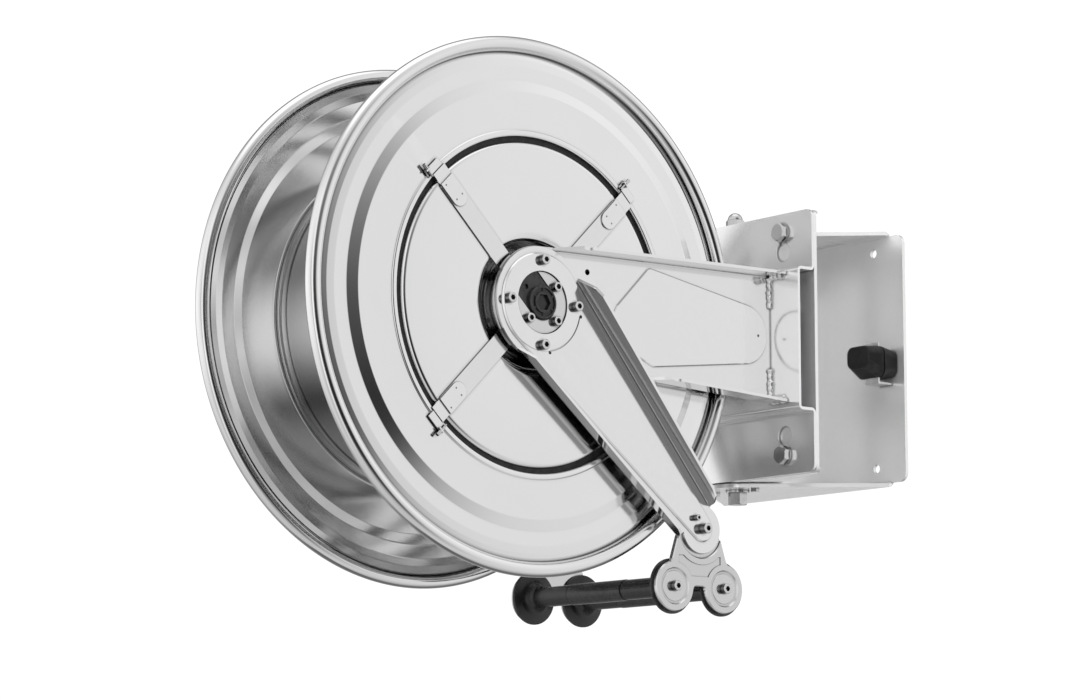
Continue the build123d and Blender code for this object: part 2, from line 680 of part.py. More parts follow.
def clamp_screws(count):
    seat = ARM_OUTER + CLAMP_PLATE_T
    screws = Part()
    for spot in clamp_screw_spots(count):
        length = seat - ARM_INNER + AXLE_FLANGE_T - 1
        screws += spot * Pos(0, 0, seat) * socket_screw(4.6, 5.5, HEAD_SCREW_R - 0.05, length, 5)
    return screws


def inlet_outline(grow):
    """Obround from the axis towards the upper left, cut by the window."""
    half = INLET_WIDTH / 2
    far = Pos(*polar(30, 135)) * Circle(half + grow)
    return hull(Circle(half + grow), far)


def inlet_body():
    body = extrude(inlet_outline(0) & Circle(WINDOW_R - FIT), CLAMP_PLATE_T - 1)
    body += rod(INLET_NECK_R, -ARM_SHEET, 0)
    body += rod(AXLE_BORE_R - RUN, -ARM_SHEET - 12, 0)
    body -= Pos(-18.5, 14) * rod(2.5, 1, CLAMP_PLATE_T)
    return Pos(0, 0, ARM_OUTER) * body


def inlet_plug():
    """Ribbed plug with a hexagonal socket on the inlet body."""
    plug = extrude(Circle(PLUG_R), PLUG_T)
    plug = chamfer(plug.faces().sort_by(Axis.Z)[-1].edges(), 0.8)
    groove = extrude(Circle(PLUG_R - 2.5) - Circle(PLUG_SOCKET_AF * 0.5 + 3), PLUG_T)
    plug -= Pos(0, 0, PLUG_T - PLUG_RIB) * groove
    for k in range(6):
        rib = Pos(*polar(PLUG_R - 4.3, 60 * k + 30)) * Rot(0, 0, 60 * k + 30) * Rectangle(5.5, 2.2)
        plug += extrude(rib, PLUG_T - 0.4)
    plug -= Pos(0, 0, 1) * extrude(hexagon(PLUG_SOCKET_AF), PLUG_T)
    return Pos(0, 0, ARM_OUTER + CLAMP_PLATE_T - 1) * plug


# ================================================================== guide rollers
TAIL = polar(OUTLET_LENGTH, OUTLET_ANGLE)


def goggle_lobe(x):
    return Pos(ROLLER_SHIFT + x * ROLLER_SPACING / 2, -ROLLER_DROP)


def goggle_lobes(radius):
    return goggle_lobe(-1) * Circle(radius) + goggle_lobe(1) * Circle(radius)


def goggle_outline():
    half_neck = [(20, 12), (29, -10), (36, -31), (40, -37), (33, -61)]
    right = [(ROLLER_SHIFT + x, z) for x, z in half_neck]
    left = [(ROLLER_SHIFT - x, z) for x, z in reversed(half_neck)]
    outline = Circle(24) + goggle_lobes(GOGGLE_R) + polygon((0, 20), *right, *left)
    corners = [disc_at(ROLLER_SHIFT + x * 4.6, -ROLLER_DROP - 2.2, 3) for x in SIDES]
    foot = polygon((ROLLER_SHIFT - 16, -90), (ROLLER_SHIFT + 16, -90), (ROLLER_SHIFT, -91))
    return outline - hull(*corners, foot)


def goggle_field():
    """Sunk field between the two eyes, below the tail."""
    band = Pos(ROLLER_SHIFT, -ROLLER_DROP + 21) * Rectangle(56, 21)
    return band - Circle(GOGGLE_FIELD_R) - goggle_lobes(GOGGLE_R - 1)


def goggle_plate():
    """Plate with two eyes that carries the rollers' axles, behind the outlet arm's tail."""
    plate = extrude(goggle_outline(), GOGGLE_T)
    below = Pos(0, -60) * Rectangle(200, 104)
    shoulder = extrude((goggle_outline() & below) - Circle(GOGGLE_TAIL_R), GOGGLE_T + GOGGLE_RAISE)
    shoulder = chamfer(shoulder.faces().sort_by(Axis.Z)[-1].edges(), 1.0)
    plate += shoulder
    top = GOGGLE_T + GOGGLE_RAISE
    plate -= Pos(0, 0, top - GOGGLE_FIELD_DEPTH) * extrude(goggle_field(), 5)
    floor = top - GOGGLE_EYE_DEPTH
    for x in SIDES:
        eye = Cone(GOGGLE_EYE_R - GOGGLE_EYE_DEPTH, GOGGLE_EYE_R, GOGGLE_EYE_DEPTH,
                   align=(Align.CENTER, Align.CENTER, Align.MIN))
        plate -= goggle_lobe(x) * Pos(0, 0, floor) * eye
        pad = rod(GOGGLE_PAD_R, 0, floor + GOGGLE_PAD)
        plate += goggle_lobe(x) * chamfer(pad.faces().sort_by(Axis.Z)[-1].edges(), 0.4)
        plate -= goggle_lobe(x) * rod(GOGGLE_SCREW_R, -1, 10)
    plate -= rod(HEAD_SCREW_R, -1, 10)
    plate -= Pos(*polar(-14.5, OUTLET_ANGLE)) * rod(2, -1, 10)
    return Pos(*TAIL) * Pos(0, 0, ARM_INNER) * plate


def tail_screws():
    seat = ARM_OUTER + ARM_SHEET + OUTLET_EMBOSS
    big = socket_screw(5.3, 8.5, HEAD_SCREW_R - 0.05, seat - ARM_INNER + 6, 5)
    small = socket_screw(3, 6, 1.95, seat - ARM_INNER + 4, 3)
    return Pos(*TAIL) * Pos(0, 0, seat) * (big + Pos(*polar(-14.5, OUTLET_ANGLE)) * small)


def tail_nuts():
    big = hex_head(10, 5) - rod(HEAD_SCREW_R - 0.05, -1, 6)
    small = hex_head(7, 3.2) - rod(1.95, -1, 6)
    nuts = big + Pos(*polar(-14.5, OUTLET_ANGLE)) * Rot(0, 0, 0) * small
    flipped = mirror(nuts, about=Plane.XY)
    return Pos(*TAIL) * Pos(0, 0, ARM_INNER) * flipped


def roller_spot(x):
    return Pos(TAIL[0], TAIL[1]) * goggle_lobe(x)


def roller_axle(x):
    axle = rod(ROLLER_AXLE_R, -ARM_INNER, ARM_INNER)
    for end in (-ARM_INNER - 1, ARM_INNER - 14):
        axle -= rod(GOGGLE_SCREW_R - 0.05, end, end + 15)
    return roller_spot(x) * axle


def roller_screws():
    screws = Part()
    for x in SIDES:
        depth = GOGGLE_T + GOGGLE_RAISE - GOGGLE_EYE_DEPTH + GOGGLE_PAD
        seat = ARM_INNER + depth
        screw = socket_screw(5, 6, GOGGLE_SCREW_R - 0.05, depth + 13, 5)
        screws += roller_spot(x) * Pos(0, 0, seat) * screw
    return screws


def roller(x):
    """Tube in three lengths with trumpet-shaped ends, turning on its axle."""
    end = ARM_INNER - ROLLER_SIDE_GAP
    neck = end - ROLLER_TRUMPET
    bore = ROLLER_AXLE_R + RUN
    half = Line((bore, 0), (ROLLER_R, 0)) + Line((ROLLER_R, 0), (ROLLER_R, ROLLER_JOINT))
    half += Line((ROLLER_R, ROLLER_JOINT), (ROLLER_END_R, ROLLER_JOINT + 0.6))
    half += Line((ROLLER_END_R, ROLLER_JOINT + 0.6), (ROLLER_END_R, neck))
    half += Bezier(
        (ROLLER_END_R, neck), (ROLLER_END_R + 0.6, neck + 13), (ROLLER_DISC_R - 8, end - 3.6),
        (ROLLER_DISC_R - 1, end - 2.6))
    half += Line((ROLLER_DISC_R - 1, end - 2.6), (ROLLER_DISC_R, end - 1.6))
    half += Line((ROLLER_DISC_R, end - 1.6), (ROLLER_DISC_R, end))
    half += Line((ROLLER_DISC_R, end), (bore, end)) + Line((bore, end), (bore, 0))
    section = make_face(half)
    body = revolved(section)
    body += mirror(body, about=Plane.XY)
    return roller_spot(x) * body


# ================================================================== drum
def flange_section():
    bead = (FLANGE_R - BEAD_R, RIM_OUT - 2)
    start = 187
    touch = (bead[0] + BEAD_R * cos(radians(start)), bead[1] + BEAD_R * sin(radians(start)))
    lip = DRUM_R + 0.2
    annulus = FACE_OUT - LIP_RISE
    points = [
        (lip, FACE_OUT - COLLAR_DEPTH - DRUM_SHEET), (lip, FACE_OUT), (lip + LIP_WIDTH, FACE_OUT),
        (lip + LIP_WIDTH + 1.5, annulus), (ANNULUS_R, annulus), (STEP_R, RIM_OUT), (BEND_R, RIM_OUT),
        (GROOVE_R, RIM_OUT - 1), touch]
    path = FilletPolyline(*points, radius=[2, 2, 1, 4, 4, 12, 8])
    path += CenterArc(bead, BEAD_R, start, -300)
    return make_face(offset(path, amount=DRUM_SHEET, side=Side.RIGHT))


def drum_flange():
    """Side wall of the hose space: stamped ring with an inner collar and a rolled outer bead."""
    return revolved(flange_section())


def drum_shell():
    end = FACE_OUT - COLLAR_DEPTH + 0.5
    shell = ring(DRUM_R - DRUM_SHEET, DRUM_R, -end, end)
    opening = pipe_direction() * Cylinder(OUTLET_PIPE_R + 4, 60, align=(Align.CENTER, Align.CENTER, Align.MIN))
    return shell - opening


def pipe_direction():
    """Local Z along the hose outlet, from the reel axis outwards (drum drawn with Z to the front)."""
    return Pos(0, 0, -OUTLET_PIPE_Y) * Rot(0, 0, OUTLET_PIPE_ANGLE) * Rot(0, 90, 0) * Pos(0, 0, 130)


def disc_floor():
    """Outer face of the recess floor."""
    return FACE_OUT - RECESS_DEPTH


def side_disc():
    """Dished disc that closes the drum's side, with a seat lip at its foot."""
    foot = FACE_OUT - DISC_SKIRT
    points = [
        (DRUM_R - DRUM_SHEET - 0.2, foot), (DISC_R, foot), (DISC_R, FACE_OUT),
        (RECESS_LIP_R, FACE_OUT), (RECESS_R, disc_floor()), (HUB_NECK_R + 0.1, disc_floor())]
    bends = [2, DISC_SHOULDER_R, RECESS_LIP_BEND_R, RECESS_FLOOR_BEND_R]
    section = sheet_section(points, bends, DRUM_SHEET, Side.LEFT)
    disc = revolved(section)
    for k in range(8):
        disc -= Pos(*polar(HUB_SCREW_CIRCLE_R, 22.5 + 45 * k)) * rod(2.5, disc_floor() - 3, FACE_OUT)
    return disc


def hub(counterbored):
    """Turned hub: neck up through the disc's recess and a flange under its floor."""
    floor = disc_floor() - DRUM_SHEET
    body = ring(HUB_BORE_R, HUB_NECK_R, FACE_OUT - HUB_LENGTH, FACE_OUT)
    body += ring(HUB_BORE_R, HUB_FLANGE_R, floor - HUB_FLANGE_T, floor)
    for k in range(8):
        body -= Pos(*polar(HUB_SCREW_CIRCLE_R, 22.5 + 45 * k)) * rod(2.5, floor - HUB_FLANGE_T - 1, floor + 1)
    if counterbored:
        body -= rod(HUB_COUNTERBORE_R, FACE_OUT - 3.5, FACE_OUT + 1)
        return body
    body += ring(HUB_BORE_R, STRAP_START_R - 1, FACE_OUT, FACE_OUT + STRAP_T)
    for spot in ratchet_screw_spots():
        body -= spot * rod(RATCHET_SCREW_R, FACE_OUT - 8, FACE_OUT + STRAP_T + 1)
    return body


def hub_bush(counterbored):
    high = FACE_OUT - 3.5 if counterbored else FACE_OUT
    return ring(AXLE_R + RUN, HUB_BORE_R, FACE_OUT - HUB_LENGTH, high)


def hub_screws():
    """Pan screws from inside through the hub's flange into the recess floor, ends flush with it."""
    seat = disc_floor() - DRUM_SHEET - HUB_FLANGE_T
    screws = Part()
    for k in range(8):
        head = rod(4, -2.6, 0)
        head = fillet(head.faces().sort_by(Axis.Z)[0].edges(), 1.2)
        head -= Pos(0, 0, -4) * extrude(hexagon(2.5), 2.6)
        screw = head + rod(2.45, 0, DRUM_SHEET + HUB_FLANGE_T)
        screws += Pos(*polar(HUB_SCREW_CIRCLE_R, 22.5 + 45 * k)) * Pos(0, 0, seat) * screw
    return screws


def edge_seal():
    """Black rubber ring in the gap between the disc's skirt and the flange's collar."""
    return ring(DISC_R, DRUM_R + 0.2, FACE_OUT - SEAL_DEPTH - SEAL_T, FACE_OUT - SEAL_DEPTH)


def tie_straps():
    """Four flat straps from the hub's neck over the disc to the flange's inner ring."""
    strap = Pos((STRAP_START_R + STRAP_END_R) / 2, 0) * RectangleRounded(
        STRAP_END_R - STRAP_START_R, STRAP_WIDTH, 2)
    straps = Part()
    for angle in STRAP_ANGLES:
        straps += Rot(0, 0, angle) * Pos(0, 0, FACE_OUT) * extrude(strap, STRAP_T)
    return straps


def slab(start, end, near, far, low, high):
    """Box by its radial, tangential and outward limits."""
    return Pos(start, near, low) * Box(end - start, far - near, high - low, align=Align.MIN)


def strap_clamps():
    """End clamps spot-welded on the straps, stepped down over the disc's edge, each with a clip."""
    half = CLAMP_WIDTH / 2
    outline = hull(disc_at(CLAMP_START_R + half, 0, half), polygon(
        (STRAP_END_R, -half), (STRAP_END_R + CLAMP_T, -half),
        (STRAP_END_R + CLAMP_T, half), (STRAP_END_R, half)))
    upper = Pos(0, 0, STRAP_T) * extrude(outline, CLAMP_T)
    for x, y in ((9, 4.5), (9, -4.5), (27, 5)):
        upper -= Pos(CLAMP_START_R + x, y, STRAP_T + CLAMP_T) * Sphere(0.9)
    lower = slab(STRAP_END_R + FIT, CLAMP_END_R, -half, half, 0, CLAMP_T)
    hook = slab(DISC_R + 1.6, DISC_R + 3.2, 2 - half, half - 2, FIT - SEAL_DEPTH, 0)
    clip = slab(CLIP_START_R, CLIP_END_R, -half + 3, half + LUG_WIDTH, 0, CLAMP_T)
    lug = slab(CLIP_END_R - LUG_T, CLIP_END_R, half, half + LUG_WIDTH, 0, LUG_HEIGHT)
    lug -= lug_axis(half) * rod(1.0, -20, 20)
    clamp = upper + (lower - slab(CLAMP_START_R, STRAP_END_R + FIT, -half, half, 0, STRAP_T)) + hook
    clamps = Part()
    for angle in STRAP_ANGLES:
        clamps += Rot(0, 0, angle) * Pos(0, 0, FACE_OUT) * (clamp + clip + lug)
    return clamps


def lug_axis(half):
    """Axis of a clip's screw, pointing outwards from the reel's axis, at its seat on the lug."""
    return Pos(CLIP_END_R, half + 3.4, CLAMP_T + 1.6) * Rot(0, 90, 0)


def strap_screws():
    """Short radial screws in the clips' lugs."""
    screw = rod(0.95, -9, 0) + rod(1.8, 0, 6) - Pos(0, 0, 3.5) * extrude(hexagon(1.8), 5)
    screws = Part()
    for angle in STRAP_ANGLES:
        screws += Rot(0, 0, angle) * Pos(0, 0, FACE_OUT) * lug_axis(CLAMP_WIDTH / 2) * screw
    return screws


def axle():
    """Fixed tube between the arms with a bolting flange at each end and a water way from the front."""
    tube = rod(AXLE_R, -ARM_INNER, ARM_INNER)
    for side in SIDES:
        low = ARM_INNER - AXLE_FLANGE_T if side > 0 else -ARM_INNER
        tube += rod(AXLE_FLANGE_R, low, low + AXLE_FLANGE_T)
    tube -= rod(AXLE_BORE_R, 20, ARM_INNER + 1)
    cross = Rot(90, 0, 0) * Cylinder(6, 3 * AXLE_R)
    tube -= Pos(0, 0, -OUTLET_PIPE_Y + DRUM_Y * -1) * cross
    for side in SIDES:
        for spot in clamp_screw_spots(4):
            low = ARM_INNER - AXLE_FLANGE_T - 1 if side > 0 else -ARM_INNER - 1
            tube -= spot * rod(HEAD_SCREW_R, low, low + AXLE_FLANGE_T + 2)
    return tube


# ================================================================== spring motor, water way, ratchet
def spring_case():
    """Round can on the back of the rear disc (drawn with Z to the rear)."""
    can = ring(AXLE_R + 1, CASE_R, CASE_LOW, CASE_LOW + CASE_SHEET)
    can += ring(CASE_R - CASE_SHEET, CASE_R, CASE_LOW, CASE_HIGH)
    can += ring(CASE_R - CASE_SHEET, CASE_R + 12, CASE_HIGH - CASE_SHEET, CASE_HIGH)
    return can


def spring_arbor():
    arbor = ring(AXLE_R, ARBOR_R, SPRING_LOW, SPRING_HIGH)
    return arbor


def spiral_spring():
    """Strip wound in half turns from the arbor to the case."""
    strip = Sketch()
    for k in range(SPRING_HALF_TURNS):
        radius = SPRING_FIRST_R + k * SPRING_PITCH / 2
        centre = 0 if k % 2 == 0 else SPRING_PITCH / 2
        band = Circle(radius + SPRING_T / 2) - Circle(radius - SPRING_T / 2)
        half = Pos(0, 120 if k % 2 == 0 else -120) * Rectangle(400, 240)
        strip += Pos(centre, 0) * band & Pos(centre, 0) * half if k else band & half
    last = SPRING_FIRST_R + (SPRING_HALF_TURNS - 1) * SPRING_PITCH / 2
    reach = CASE_R - CASE_SHEET
    strip += Pos(-(last + reach) / 2, 0) * Rectangle(reach - last, SPRING_T)
    return Pos(0, 0, SPRING_LOW) * extrude(strip, SPRING_HIGH - SPRING_LOW)


def water_collar():
    """Collar that turns with the drum on the axle and leads the water to the pipe."""
    middle = -OUTLET_PIPE_Y
    body = ring(AXLE_R + RUN, COLLAR_R, middle - COLLAR_HALF, middle + COLLAR_HALF)
    body -= rod(AXLE_R + 3, middle - 7, middle + 7)
    return body


def along_pipe(part):
    return Pos(0, 0, -OUTLET_PIPE_Y) * Rot(0, 0, OUTLET_PIPE_ANGLE) * Rot(0, 90, 0) * part


def outlet_pipe():
    """Pipe from the collar through the shell, ending in the hose's threaded port."""
    end = DRUM_R + 2
    pipe = rod(OUTLET_PIPE_R, 10, end - OUTLET_PORT_DEPTH - 4)
    pipe += rod(OUTLET_PIPE_R + 3, end - OUTLET_PORT_DEPTH - 4, end)
    pipe -= rod(OUTLET_BORE_R, 0, end + 1)
    pipe -= rod(OUTLET_PORT_R, end - OUTLET_PORT_DEPTH, end + 1)
    placed = along_pipe(pipe)
    return placed - rod(COLLAR_R, -OUTLET_PIPE_Y - COLLAR_HALF, -OUTLET_PIPE_Y + COLLAR_HALF)


def water_collar_bored():
    return water_collar() - along_pipe(rod(OUTLET_BORE_R, 0, 2 * COLLAR_R))


def ratchet_screw_spots():
    return [Pos(*polar(27, 90 * k)) for k in range(4)]


def ratchet_wheel():
    """Toothed wheel on the rear hub's boss, over the strap ends."""
    step = 360 / RATCHET_TEETH
    points = []
    for k in range(RATCHET_TEETH):
        points.append(polar(RATCHET_TIP_R, k * step))
        points.append(polar(RATCHET_ROOT_R, k * step + 2))
    wheel = extrude(polygon(*points), RATCHET_T) - rod(HUB_BORE_R, -1, RATCHET_T + 1)
    for spot in ratchet_screw_spots():
        wheel -= spot * rod(RATCHET_SCREW_R, -1, RATCHET_T + 1)
    return Pos(0, 0, FACE_OUT + STRAP_T) * wheel


def ratchet_screws():
    screws = Part()
    for spot in ratchet_screw_spots():
        head = rod(4, 0, 2.2) - Pos(0, 0, 1) * extrude(hexagon(2.5), 2)
        screw = head + rod(RATCHET_SCREW_R - 0.05, -RATCHET_T - STRAP_T - 7, 0)
        screws += spot * Pos(0, 0, FACE_OUT + STRAP_T + RATCHET_T) * screw
    return screws


def pawl_frame(part):
    """Places a piece drawn at the pawl's pin, Z measured from the arm's inner face inwards."""
    inward = mirror(part, about=Plane.XY)
    return Pos(*PAWL_PIVOT) * Pos(0, 0, ARM_INNER) * inward


def pawl_pin():
    pin = rod(PAWL_PIN_R, 0, 13.6)
    pin += rod(PAWL_PIN_R - 1.05, -ARM_SHEET, 0)
    pin += rod(PAWL_PIN_R, -ARM_SHEET - 1.5, -ARM_SHEET)
    pin += rod(PAWL_PIN_R + 2, 0, 8)
    return pawl_frame(pin)


def pawl():
    """Finger on its pin, its nose just clear of the wheel's teeth."""
    x, z = PAWL_PIVOT
    distance = hypot(x, z)
    toward = degrees(atan2(-z, -x))
    nose = polar(distance - RATCHET_TIP_R - 2.0, toward)
    tail = polar(16, toward + 120)
    outline = hull(Circle(7.5), disc_at(*nose, 1.5)) + hull(Circle(5), disc_at(*tail, 3.5))
    finger = extrude(outline, 4.7) - rod(PAWL_PIN_R + RUN, -1, 8)
    return pawl_frame(Pos(0, 0, 8.5) * finger)


# ================================================================== build and write
def both_arms(build):
    return on_arm(build(), -1) + on_arm(build(), 1)


def both_drum_sides(build):
    return on_drum(build(), -1) + on_drum(build(), 1)


def build_wall():
    nodes["wall_bracket"] = make_wall_bracket()
    nodes["bumpers"] = make_bumpers()
    nodes["bumper_tabs"] = make_bumper_tabs()
    nodes["pivot_bolt"] = make_pivot_bolt()
    nodes["pivot_nut"] = make_pivot_nut()
    nodes["pad_screws"] = make_pad_screws()


def build_swivel():
    nodes["pivot_bushes"] = make_pivot_bushes()
    nodes["swivel_bracket"] = make_swivel_bracket()
    nodes["base_channel"] = make_base_channel()
    nodes["base_bolts"] = make_base_bolts()
    nodes["base_nuts"] = make_base_nuts()
    nodes["arm_front"] = on_arm(fixed_arm(3), -1)
    nodes["arm_rear"] = on_arm(fixed_arm_rear(), 1)
    nodes["outlet_arm_front"] = on_arm(outlet_arm(), -1)
    nodes["outlet_arm_rear"] = on_arm(outlet_arm(), 1)
    nodes["head_screws"] = both_arms(head_screws)
    nodes["clamp_plate_front"] = on_arm(clamp_plate(True), -1)
    nodes["clamp_plate_rear"] = on_arm(clamp_plate(False), 1)
    nodes["clamp_screws"] = on_arm(clamp_screws(3), -1) + on_arm(clamp_screws(4), 1)
    nodes["inlet_body"] = on_arm(inlet_body(), -1)
    nodes["inlet_plug"] = on_arm(inlet_plug(), -1)
    nodes["axle"] = on_arm(axle(), -1)
    nodes["roller_plate_front"] = on_arm(goggle_plate(), -1)
    nodes["roller_plate_rear"] = on_arm(goggle_plate(), 1)
    nodes["tail_screws"] = both_arms(tail_screws)
    nodes["tail_nuts"] = both_arms(tail_nuts)
    nodes["roller_screws"] = both_arms(roller_screws)
    nodes["roller_axles"] = on_arm(roller_axle(-1) + roller_axle(1), -1)
    nodes["spring_arbor"] = on_arm(Pos(0, 0, -DRUM_Y * -1) * spring_arbor(), 1)
    nodes["pawl_pin"] = on_arm(pawl_pin(), 1)


def build_moving():
    nodes["roller_left"] = on_arm(roller(-1), -1)
    nodes["roller_right"] = on_arm(roller(1), -1)
    nodes["pawl"] = on_arm(pawl(), 1)
    for name, side in (("front", -1), ("rear", 1)):
        nodes["drum_flange_" + name] = on_drum(drum_flange(), side)
        nodes["side_disc_" + name] = on_drum(side_disc(), side)
        nodes["hub_" + name] = on_drum(hub(side < 0), side)
        nodes["tie_straps_" + name] = on_drum(tie_straps(), side)
        nodes["strap_clamps_" + name] = on_drum(strap_clamps(), side)
    nodes["hub_bushes"] = on_drum(hub_bush(True), -1) + on_drum(hub_bush(False), 1)
    nodes["hub_screws"] = both_drum_sides(hub_screws)
    nodes["strap_screws"] = both_drum_sides(strap_screws)
    nodes["edge_seals"] = both_drum_sides(edge_seal)
    nodes["drum_shell"] = on_drum(drum_shell(), -1)
    nodes["spring_case"] = on_drum(spring_case(), 1)
    nodes["spiral_spring"] = on_drum(spiral_spring(), 1)
    nodes["water_collar"] = on_drum(water_collar_bored(), -1)
    nodes["outlet_pipe"] = on_drum(outlet_pipe(), -1)
    nodes["ratchet_wheel"] = on_drum(ratchet_wheel(), 1)
    nodes["ratchet_screws"] = on_drum(ratchet_screws(), 1)


build_wall()
build_swivel()
build_moving()
for name, part in nodes.items():
    part.label = name
    export_step(part, f"parts/{name}.step")
print(len(nodes), "nodes written")
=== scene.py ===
"""Looks of the swivelling fire hose reel: stainless sheet, turned hubs, zinc screws, black mouldings."""
import bpy
import bmesh
import json
from math import cos, pi, radians, sin
from mathutils import Matrix, Vector


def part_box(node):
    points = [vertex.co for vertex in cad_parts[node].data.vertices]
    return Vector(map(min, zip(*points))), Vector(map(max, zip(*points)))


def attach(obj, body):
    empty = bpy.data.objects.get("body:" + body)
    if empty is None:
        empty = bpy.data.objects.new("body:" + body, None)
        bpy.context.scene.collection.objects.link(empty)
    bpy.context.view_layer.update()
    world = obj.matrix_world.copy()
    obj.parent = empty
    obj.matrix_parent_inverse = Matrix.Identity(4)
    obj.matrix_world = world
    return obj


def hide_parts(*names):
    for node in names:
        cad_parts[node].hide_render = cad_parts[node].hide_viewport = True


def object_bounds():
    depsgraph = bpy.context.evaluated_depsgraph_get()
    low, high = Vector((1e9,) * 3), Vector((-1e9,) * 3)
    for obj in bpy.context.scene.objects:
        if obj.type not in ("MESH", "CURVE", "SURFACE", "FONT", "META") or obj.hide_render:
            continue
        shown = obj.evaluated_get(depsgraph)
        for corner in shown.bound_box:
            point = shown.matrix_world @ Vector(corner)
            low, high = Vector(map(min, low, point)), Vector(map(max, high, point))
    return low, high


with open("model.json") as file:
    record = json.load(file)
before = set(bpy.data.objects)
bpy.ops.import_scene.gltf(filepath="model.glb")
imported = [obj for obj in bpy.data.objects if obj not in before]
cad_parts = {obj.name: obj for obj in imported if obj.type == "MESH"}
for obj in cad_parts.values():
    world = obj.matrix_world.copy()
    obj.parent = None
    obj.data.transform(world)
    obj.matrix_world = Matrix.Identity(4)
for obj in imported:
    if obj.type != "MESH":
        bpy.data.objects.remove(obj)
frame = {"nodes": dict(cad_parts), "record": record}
cad_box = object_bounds()
MM = 0.001

# ---------------------------------------------------------------- places taken from the frame
def corner(node, high):
    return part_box(node)[1 if high else 0]


def middle(node):
    low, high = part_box(node)
    return [(a + b) / 2 for a, b in zip(low, high)]


REEL = middle("drum_flange_front")
REEL_X, REEL_Z = REEL[0], REEL[2]
DRUM_Y = (corner("drum_flange_front", False)[1] + corner("drum_flange_rear", True)[1]) / 2
FLANGE_R = (corner("drum_flange_front", True)[0] - corner("drum_flange_front", False)[0]) / 2 / MM
LOWEST = cad_box[0][2]


# ---------------------------------------------------------------- shared node groups
def group(name, inputs, outputs):
    """Empty node group with its sockets and their default values."""
    tree = bpy.data.node_groups.new(name, "ShaderNodeTree")
    for label, kind, value in inputs:
        socket = tree.interface.new_socket(label, in_out="INPUT", socket_type=kind)
        socket.default_value = value
    for label, kind in outputs:
        tree.interface.new_socket(label, in_out="OUTPUT", socket_type=kind)
    enter = tree.nodes.new("NodeGroupInput")
    leave = tree.nodes.new("NodeGroupOutput")
    return tree, enter, leave


def add(tree, kind, settings=None, **inputs):
    """New node with its settings and inputs; an input given as a socket is linked."""
    node = tree.nodes.new("ShaderNode" + kind)
    for key, value in (settings or {}).items():
        setattr(node, key, value)
    for key, value in inputs.items():
        key = key.replace("_", " ")
        target = node.inputs[int(key[1:])] if key[0] == "n" and key[1:].isdigit() else node.inputs[key]
        if isinstance(value, bpy.types.NodeSocket):
            tree.links.new(value, target)
        else:
            target.default_value = value
    return node


def math(tree, operation, a, b=0.0, clamp=False):
    return add(tree, "Math", {"operation": operation, "use_clamp": clamp}, n0=a, n1=b).outputs[0]


def spread(tree, value, low, high, to_low=0.0, to_high=1.0):
    """Value mapped from low..high to to_low..to_high."""
    return add(tree, "MapRange", None, Value=value, From_Min=low, From_Max=high,
               To_Min=to_low, To_Max=to_high).outputs[0]


FLOAT = "NodeSocketFloat"
VECTOR = "NodeSocketVector"


def rolling_marks():
    """Fine straight grain of rolled sheet, with soft handling smears."""
    tree, enter, leave = group(
        "rolling marks",
        [("Along", VECTOR, (1.0, 1.0, 1.0)), ("Grain", FLOAT, 0.04), ("Smear", FLOAT, 0.05),
         ("Base", FLOAT, 0.2)],
        [("Roughness", FLOAT), ("Height", FLOAT), ("Shade", FLOAT)])
    place = add(tree, "TexCoord")
    stretched = add(tree, "VectorMath", {"operation": "MULTIPLY"}, n0=place.outputs["Object"],
                    n1=enter.outputs["Along"])
    grain = add(tree, "TexNoise", None, Vector=stretched.outputs[0], Scale=1.0, Detail=3.0,
                Roughness=0.6)
    smear = add(tree, "TexNoise", None, Vector=place.outputs["Object"], Scale=14.0, Detail=4.0,
                Roughness=0.55, Distortion=0.6)
    centred = math(tree, "SUBTRACT", grain.outputs[0], 0.5)
    fine = math(tree, "MULTIPLY", centred, enter.outputs["Grain"])
    spots = math(tree, "MULTIPLY", math(tree, "SUBTRACT", smear.outputs[0], 0.5), enter.outputs["Smear"])
    rough = math(tree, "ADD", math(tree, "ADD", enter.outputs["Base"], fine), spots)
    tree.links.new(rough, leave.inputs["Roughness"])
    tree.links.new(grain.outputs[0], leave.inputs["Height"])
    tree.links.new(smear.outputs[0], leave.inputs["Shade"])
    return tree


def edge_highlight():
    """Painted highlight: mask that is high on sharp convex edges, broken up by noise, to lighten the colour
    there.
    """
    tree, enter, leave = group(
        "painted edge highlight", [("Width", FLOAT, 0.06), ("Break", FLOAT, 0.5)], [("Mask", FLOAT)])
    place = add(tree, "TexCoord")
    shape = add(tree, "NewGeometry")
    noise = add(tree, "TexNoise", None, Vector=place.outputs["Object"], Scale=160.0, Detail=3.0)
    high = math(tree, "ADD", 0.5, enter.outputs["Width"])
    edge = spread(tree, shape.outputs["Pointiness"], 0.505, high)
    broken = math(tree, "MULTIPLY", edge, spread(tree, noise.outputs[0], 0.3, 0.6))
    mixed = add(tree, "Mix", {"data_type": "FLOAT"}, n0=enter.outputs["Break"], n2=edge, n3=broken)
    tree.links.new(mixed.outputs[0], leave.inputs["Mask"])
    return tree


def painted_corner_shade():
    """Painted shade: mask that rises in tight corners, where light doesn't reach, to darken the colour
    there.
    """
    tree, enter, leave = group(
        "painted corner shade", [("Reach", FLOAT, 0.003), ("Strength", FLOAT, 1.0)], [("Mask", FLOAT)])
    near = add(tree, "AmbientOcclusion", {"samples": 6}, Distance=enter.outputs["Reach"])
    hidden = spread(tree, near.outputs["AO"], 0.95, 0.45)
    mask = math(tree, "MULTIPLY", hidden, enter.outputs["Strength"], clamp=True)
    tree.links.new(mask, leave.inputs["Mask"])
    return tree


